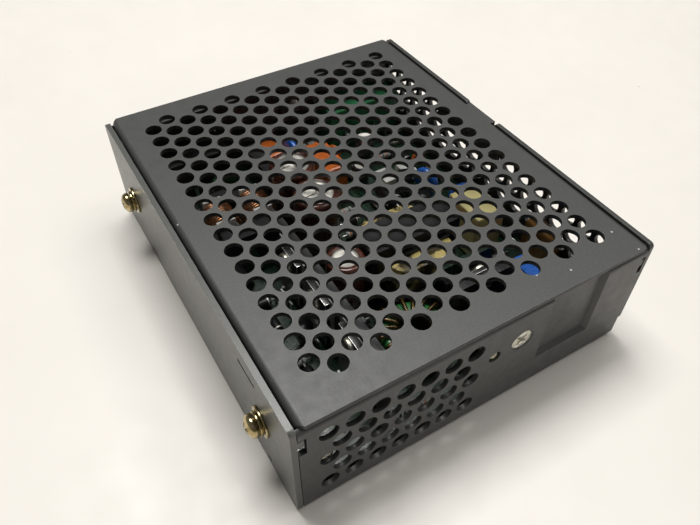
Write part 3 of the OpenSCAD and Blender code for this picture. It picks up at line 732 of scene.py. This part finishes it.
def lenses(node, material):
    """Dipped disc parts: a lens shaped body that runs down onto its two leads."""
    build = Build(node + "_detail", material, "tin")
    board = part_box("circuit_board")[1].z
    for points in solids(node):
        low, high = box_of(points)
        size = high - low
        if size.z > 6 * MM and max(size.x, size.y) > 2.5 * MM:
            body = points[points[:, 2] > board + 1.5 * MM]
            middle = (Vector(body.min(axis=0)) + Vector(body.max(axis=0))) / 2
            flat = body[:, :2] - np.array(middle[:2])
            _, vectors = np.linalg.eigh(flat.T @ flat)
            normal = Vector((*vectors[:, 0], 0)).normalized()
            radius = (body[:, 2].max() - body[:, 2].min()) / 2
            half = float(np.abs(flat @ vectors[:, 0]).max())
            profile = [(radius * math.sin(t), -half * math.copysign(abs(math.cos(t)) ** 0.7, math.cos(t)))
                       for t in (math.pi * i / 18 for i in range(19))]
            build.lathe(middle, normal, profile, sides=44)
            side = normal.cross(Z)
            for s in (-1, 1):
                foot = Vector((middle.x, middle.y, board - 2.4 * MM)) + side * s * radius * 0.55
                top = Vector((foot.x, foot.y, middle.z - radius * 0.75))
                build.tube([foot, top], 0.35 * MM, 1)
                neck = ((0, 0), (0.5, 0.1), (0.75, 1.2), (0.9, 2.4), (0, 2.6))
                build.lathe(top - Z * 1.5 * MM, Z, [(r * MM, h * MM) for r, h in neck], sides=16)
    build.finish(replaces=(node,), smooth=60)


def choke():
    """Two wound bobbins on the long legs of a ferrite ring."""
    build = Build("choke_windings_detail", "copper_wire")
    wire = 0.42 * MM
    barrel = 4.05 * MM
    for points in solids("choke_windings"):
        low, high = box_of(points)
        centre = (low + high) / 2
        radius = (high.y - low.y) / 2 - wire
        turns = int((high.x - low.x) / (wire * 2.02))
        steps = 28
        path = []
        for i in range(turns * steps + 1):
            a = 2 * math.pi * i / steps
            x = low.x + wire + (high.x - low.x - 2 * wire) * i / (turns * steps)
            path.append(Vector((x, centre.y + radius * math.cos(a), centre.z + radius * math.sin(a))))
        build.tube(path, wire, sides=8)
        ends = (0.1 * MM, high.x - low.x - 0.1 * MM)
        inner_layers = [(barrel, ends[0]), (radius, ends[0]), (radius, ends[1]), (barrel, ends[1])]
        build.lathe(Vector((low.x, centre.y, centre.z)), X, inner_layers, sides=32)
    build.finish(replaces=("choke_windings",), smooth=60)
    dress("choke_core", "ferrite")
    soften("choke_core", 0.4, 3)
    dress("choke_bobbins", "white_plastic")
    soften("choke_bobbins", 0.15)


def inductor():
    """A coated ring core under thick wire turns."""
    low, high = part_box("inductor_core")
    centre = (low + high) / 2
    outer = (high.x - low.x) / 2
    inner = 4.6 * MM
    half = (high.z - low.z) / 2
    corner = 1.3 * MM
    profile = arc((outer - corner, half - corner), corner, 0, 90, 5)
    profile += arc((inner + corner, half - corner), corner, 90, 180, 5)
    profile += arc((inner + corner, corner - half), corner, 180, 270, 5)
    profile += arc((outer - corner, corner - half), corner, 270, 360, 5)
    core = Build("inductor_core_detail", "coated_core")
    core.lathe(centre, Z, profile + profile[:1], sides=64)
    bmesh.ops.remove_doubles(core.bm, verts=core.bm.verts, dist=1e-7)
    core.finish(replaces=("inductor_core",))

    low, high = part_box("inductor_winding")
    outer = (high.x - low.x) / 2
    wire = 0.55 * MM
    build = Build("inductor_winding_detail", "dark_wire")
    turns = 17
    for k in range(turns):
        a = 2 * math.pi * (k + 0.5) / (turns + 1.5)
        out = Vector((math.cos(a), math.sin(a), 0))
        lean = Vector((-math.sin(a), math.cos(a), 0))
        near, far = 4.0 * MM, outer - wire
        bottom, top = low.z + wire, high.z - wire
        bend = 0.9 * MM
        corners = [(far - bend, top - bend, 0), (near + bend, top - bend, 90),
                   (near + bend, bottom + bend, 180), (far - bend, bottom + bend, 270)]
        path = []
        for r, z, start in corners:
            for step in range(5):
                t = math.radians(start + 22.5 * step)
                place = centre + out * (r + bend * math.cos(t))
                place.z = z + bend * math.sin(t)
                rise = (place.z - bottom) / (top - bottom)
                path.append(place + lean * 0.5 * MM * (rise - 0.5))
        build.tube(path, wire, closed=True)
    build.finish(replaces=("inductor_winding",), smooth=60)


def transistor(build, centre, out):
    """A TO-220 part: a metal tab against the sink, an epoxy body, and three stepped leads."""
    side = out.cross(Z)
    epoxy, metal = range(2)

    def block(across, ahead, up, slot, bevel=0.0):
        """A box given by its ranges in millimetres."""
        points = [centre + (side * p + out * q + Z * r) * MM for p in across for q in ahead for r in up]
        build.box(Vector(map(min, *points)), Vector(map(max, *points)), slot, bevel * MM)

    block((-5, 5), (0, 1.3), (9, 24.4), metal, 0.12)
    block((-4.95, 4.95), (0.6, 4.5), (9, 18.2), epoxy, 0.35)
    for lead in (-2.54, 0, 2.54):
        block((lead - 0.7, lead + 0.7), (2.2, 2.7), (6.5, 9.1), metal)
        block((lead - 0.4, lead + 0.4), (2.2, 2.7), (3.4, 6.6), metal)


def power_parts():
    """Transistors and the output rectifier, each cut round its screw, and their heatsinks."""
    hole_z = 21.5 * MM
    for node, out in (("power_transistors", -Y), ("output_rectifier", -X)):
        build = Build(node + "_detail", "black_plastic", "tin")
        holes = Build("holes")
        for points in solids(node):
            low, high = box_of(points)
            back = float((points @ np.array(-out)).max())
            place = Vector(((low.x + high.x) / 2, (low.y + high.y) / 2, 0))
            place += out * (-back - place.dot(out))
            transistor(build, place, out)
            hole = [(0, 0), (1.8 * MM, 0), (1.8 * MM, 4 * MM), (0, 4 * MM)]
            holes.lathe(place + Z * hole_z - out * MM, out, hole)
        carve(build.finish(replaces=(node,)), holes.link())
    pan_heads("transistor_screws", (0, -1, 0), "bright_zinc")
    pan_heads("rectifier_screw", (-1, 0, 0), "bright_zinc")
    for node in ("primary_heatsink", "secondary_heatsink"):
        dress(node, "black_aluminium")
        soften(node, 0.2)
    dress("transistor_pads", "grey_pad")


def small_parts():
    """Resistors, diodes, small cans, discs and jumpers that fill the open places on the board."""
    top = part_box("circuit_board")[1].z
    build = Build("small_parts", "resistor_body", "black_plastic", "tin", "band_dark", "band_warm",
                  "dark_sleeve", "bare_aluminium", "orange_epoxy", "blue_lacquer")
    body, black, tin, dark, warm, sleeve, metal, orange, blue = range(9)

    def legs(place, along, reach):
        """A lead that runs along, and turns down into the board at both ends."""
        ends = []
        for s in (-1, 1):
            corner = place + along * s * reach
            ends.append([corner + along * -s * 0.6 * MM, corner + along * -s * 0.15 * MM - Z * 0.15 * MM,
                         corner - Z * 0.6 * MM, Vector((corner.x, corner.y, top - 2.2 * MM))])
        build.tube(ends[0][::-1] + ends[1], 0.3 * MM, tin, 6)

    def axial(x, y, turn, kind):
        """A part lying on bent leads: a banded resistor, or a diode with one pale band."""
        along = Matrix.Rotation(math.radians(turn), 3, "Z") @ X
        length, radius, bands = {
            "resistor": (6.2, 1.15, [(0.18, warm), (0.36, dark), (0.54, warm), (0.82, dark)]),
            "big_resistor": (11.0, 2.1, [(0.2, dark), (0.36, warm), (0.52, dark), (0.8, warm)]),
            "diode": (5.0, 1.35, [(0.84, metal)]),
            "big_diode": (9.0, 2.6, [(0.86, metal)]),
        }[kind]
        shell, waist = (black, 1.0) if "diode" in kind else (body, 0.93)
        half = length / 2 * MM
        r = radius * MM
        place = Vector((x * MM, y * MM, top + r + 0.4 * MM))
        stops = [(0.0, 0.55), (0.04, 0.85), (0.09, 1.0)]
        slots = [shell] * 2
        for at, slot in bands:
            stops += [(at - 0.035, waist), (at + 0.035, waist)]
            slots += [shell, slot]
        stops += [(0.91, 1.0), (0.96, 0.85), (1.0, 0.55)]
        slots += [shell] * 3
        profile = [(0, -half)] + [(r * k, -half + 2 * half * at) for at, k in stops] + [(0, half)]
        build.lathe(place, along, profile, [shell] + slots + [shell], sides=20)
        legs(place, along, half + 1.6 * MM)

    def upright(x, y, radius, height):
        """A small can capacitor."""
        r, h = radius * MM, height * MM
        profile = [(0, 0), (r * 0.9, 0), (r, 0.4 * MM), (r, h - 0.4 * MM), (r - 0.4 * MM, h)]
        profile += [(r - 0.7 * MM, h - 0.2 * MM), (0, h - 0.2 * MM)]
        place = Vector((x * MM, y * MM, top + 0.1 * MM))
        build.lathe(place, Z, profile, [sleeve] * 4 + [metal] * 2, sides=28)

    def transistor_case(x, y, turn):
        """A small signal transistor: a round body with one flat side, on three legs."""
        rotate = Matrix.Rotation(math.radians(turn), 3, "Z")
        corners, radius, height = 15, 2.35 * MM, 4.6 * MM
        lower, upper = [], []
        for k in range(corners):
            a = math.radians(-55 + 290 * k / (corners - 1))
            point = Vector((radius * math.cos(a), radius * math.sin(a), 0))
            place = rotate @ point + Vector((x * MM, y * MM, top + 3.2 * MM))
            lower.append(build.bm.verts.new(place))
            upper.append(build.bm.verts.new(place + Z * height))
        for k in range(corners):
            n = (k + 1) % corners
            build.bm.faces.new([lower[k], lower[n], upper[n], upper[k]]).material_index = black
        build.bm.faces.new(lower).material_index = black
        build.bm.faces.new(upper).material_index = black
        for offset in (-1.27, 0, 1.27):
            foot = rotate @ Vector((offset * MM, 0, 0)) + Vector((x * MM, y * MM, top - 2 * MM))
            build.tube([foot, foot + Z * 5.4 * MM], 0.25 * MM, tin, 6)

    def pill(x, y, turn, slot):
        """A small ceramic disc."""
        normal = Matrix.Rotation(math.radians(turn), 3, "Z") @ Y
        turns = [math.pi * i / 10 for i in range(11)]
        profile = [(2.6 * MM * math.sin(t), -1.1 * MM * math.cos(t)) for t in turns]
        place = Vector((x * MM, y * MM, top + 4.2 * MM))
        build.lathe(place, normal, profile, slot, sides=24)
        for s in (-1, 1):
            foot = place + normal.cross(Z) * s * 1.25 * MM
            build.tube([Vector((foot.x, foot.y, top - 2 * MM)), foot - Z * 1.6 * MM], 0.25 * MM, tin, 6)

    def jumper(x, y, turn, length):
        """A bare wire link."""
        along = Matrix.Rotation(math.radians(turn), 3, "Z") @ X
        legs(Vector((x * MM, y * MM, top + 0.5 * MM)), along, length / 2 * MM)

    for place in SMALL["axial"]:
        axial(*place)
    for place in SMALL["upright"]:
        upright(*place)
    for place in SMALL["transistor"]:
        transistor_case(*place)
    for x, y, turn in SMALL["disc"]:
        pill(x, y, turn, orange if x < 0 else blue)
    for place in SMALL["jumper"]:
        jumper(*place)
    build.finish(smooth=50)


# The parts too small to have nodes of their own: x and y on the board in millimetres, turn in degrees,
# and then the kind of an axial part or the length of a jumper. An upright can has x, y, radius and height.
SMALL = {
    "axial": [
        (-4, -33, 0, "big_diode"), (6, -31.5, 90, "diode"), (11, -37, 0, "big_resistor"),
        (14, -31.5, 0, "diode"), (24, -39, 0, "diode"), (27, -33, 90, "resistor"), (32, -31, 0, "diode"),
        (36, -38.5, 90, "big_diode"), (43, -31, 0, "resistor"), (0, -39.5, 0, "resistor"),
        (24, -14, 90, "resistor"), (51, -22, 90, "diode"), (51, -12, 90, "resistor"),
        (-5, 4, 90, "resistor"), (-9.5, 5, 90, "diode"), (-14, 5, 90, "resistor"), (-2, 15, 0, "diode"),
        (-3, 20, 0, "resistor"), (-12, 16, 0, "resistor"), (-12, 20, 0, "big_diode"), (-30, 16, 0, "diode"),
        (-30, 20, 0, "resistor"), (-31, 31, 90, "resistor"), (-27, 36, 0, "diode"),
        (-16, 40, 0, "resistor"), (24, 33, 90, "diode"), (28, 29, 90, "resistor"), (9, 41, 0, "resistor"),
        (18, 41.5, 0, "diode"), (50, 29, 90, "resistor"), (33, 35.5, 0, "diode"),
        (-46, 10, 90, "big_resistor"), (-33.5, -33, 90, "big_resistor"),
    ],
    "upright": [(30.5, -40, 2.5, 8), (-24, 17.5, 2.5, 8), (-34, 25, 3, 9), (47, 31, 2.5, 7)],
    "transistor": [(-3, 26, 20), (2, 26, 110), (22, -27.5, 0), (30.5, -15.5, 200), (-14, 27, 250)],
    "disc": [(41, -42, 0), (17, -42, 0), (-22, 38, 90), (31.5, 27, 60), (-38, 16, 20), (8, -42, 0)],
    "jumper": [
        (2, -35.5, 0, 8), (44, -36, 90, 9), (-8, 12, 0, 9), (-35, 20, 90, 7), (12, 24, 0, 9),
        (40, 36.5, 0, 7),
    ],
}


def plain_parts():
    """Nodes whose CAD shape is already right."""
    for node, material, width in (
        ("circuit_board", "board_green", 0.1), ("input_header", "black_plastic", 0.2),
        ("output_header", "green_plastic", 0.2), ("input_pins", "tin", 0.1), ("output_pins", "tin", 0.1),
        ("fuse_tube", "glass_tube", 0), ("fuse_caps", "tin", 0.2), ("fuse_clips", "tin", 0.1),
        ("suppression_capacitors", "orange_epoxy", 0.7), ("bridge_rectifier", "black_plastic", 0.4),
        ("transformer_core", "ferrite", 0.4), ("transformer_bobbin", "black_plastic", 0.15),
        ("transformer_winding", "yellow_tape", 0.5), ("control_board", "board_green", 0.1),
        ("control_chips", "black_plastic", 0.2), ("relay_box", "cream_plastic", 0.5),
        ("film_capacitor", "amber_epoxy", 0.7), ("optocouplers", "white_plastic", 0.15),
        ("trimmer_body", "blue_plastic", 0.3), ("trimmer_rotor", "white_plastic", 0.12),
        ("led_lamp", "lamp_plastic", 0), ("led_spacer", "black_plastic", 0.15),
    ):
        dress(node, material)
        if width:
            soften(node, width)


# ---- Stage ----


def table():
    """A plain pale table top."""
    look = Look("table_top")
    cloud = look.ramp(look.noise(60, 4), 0.3, 0.7)
    dots = look.math("LESS_THAN", look.cells(16), 0.018)
    speck = look.math("MULTIPLY", dots, look.ramp(look.noise(9), 0.45, 0.6))
    pale = look.mix(cloud, (0.78, 0.75, 0.70), (0.81, 0.78, 0.73))
    look.colour(look.mix(speck, pale, (0.32, 0.29, 0.25)))
    look.rough(look.ramp(look.noise(8, 4), 0.3, 0.7, 0.42, 0.55))
    look.bump(look.noise(0.8, 3), 0.02, 0.25)
    mesh = bpy.data.meshes.new("table")
    reach = 2.5
    corners = [(-reach, -reach, 0), (reach, -reach, 0), (reach, reach, 0), (-reach, reach, 0)]
    mesh.from_pydata(corners, [], [(0, 1, 2, 3)])
    mesh.materials.append(look.mat)
    obj = bpy.data.objects.new("table", mesh)
    bpy.context.scene.collection.objects.link(obj)


def area_light(name, place, target, size, power, colour):
    """A rectangular light at a place in metres, aimed at a target."""
    light = bpy.data.lights.new(name, "AREA")
    light.shape = "RECTANGLE"
    light.size, light.size_y = size
    light.energy = power
    light.color = colour
    obj = bpy.data.objects.new(name, light)
    obj.location = place
    obj.rotation_euler = (Vector(target) - Vector(place)).to_track_quat("-Z", "Y").to_euler()
    bpy.context.scene.collection.objects.link(obj)


def room():
    """Dim room light, a bright lamp overhead towards the connectors, ceiling panels and a far window."""
    world = bpy.data.worlds.new("room")
    bpy.context.scene.world = world
    world.use_nodes = True
    nodes, links = world.node_tree.nodes, world.node_tree.links
    place = nodes.new("ShaderNodeTexCoord")
    split = nodes.new("ShaderNodeSeparateXYZ")
    ramp = nodes.new("ShaderNodeValToRGB")
    ramp.color_ramp.elements[0].position = 0.0
    ramp.color_ramp.elements[0].color = (0.5, 0.49, 0.47, 1)
    ramp.color_ramp.elements[1].position = 1.0
    ramp.color_ramp.elements[1].color = (0.3, 0.3, 0.3, 1)
    links.new(place.outputs["Generated"], split.inputs[0])
    links.new(split.outputs["Z"], ramp.inputs["Fac"])
    links.new(ramp.outputs["Color"], nodes["Background"].inputs["Color"])
    nodes["Background"].inputs["Strength"].default_value = 0.34
    area_light("window", (-0.28, 0.02, 0.85), (0, 0, 0), (0.45, 0.35), 7.0, (1.0, 0.985, 0.96))
    area_light("ceiling", (0.0, 0.5, 1.1), (0, 0, 0), (0.8, 0.6), 5.0, (1.0, 0.985, 0.96))
    area_light("far_window", (1.3, 0.35, 0.5), (0, 0, 0.02), (0.25, 0.5), 1.5, (1.0, 0.98, 0.95))


def camera():
    """Stands above the corner of the lamp end and the rail wall, with a slight roll."""
    data = bpy.data.cameras.new("camera")
    data.lens = 33.75
    data.sensor_width = 36
    data.clip_start = 0.01
    obj = bpy.data.objects.new("camera", data)
    place = Vector((111.7, -69.3, 140.8)) * MM
    target = Vector((11.5, -7.9, 16.0)) * MM
    roll = math.radians(0.65)
    obj.location = place
    aim = (target - place).to_track_quat("-Z", "Y").to_matrix()
    obj.rotation_euler = (aim @ Matrix.Rotation(roll, 3, "Z")).to_euler()
    bpy.context.scene.collection.objects.link(obj)
    bpy.context.scene.camera = obj


sheet_metal()
case_hardware()
plain_parts()
cans("bulk_capacitors", "capacitor_sleeve")
cans("auxiliary_capacitor", "capacitor_sleeve")
cans("output_capacitors", "dark_sleeve")
lenses("thermistor", "dark_green_lacquer")
lenses("varistor", "blue_lacquer")
lenses("safety_capacitors", "blue_lacquer")
choke()
inductor()
power_parts()
small_parts()
table()
room()
camera()
bpy.context.scene.view_settings.view_transform = "Standard"
bpy.context.scene.view_settings.look = "None"
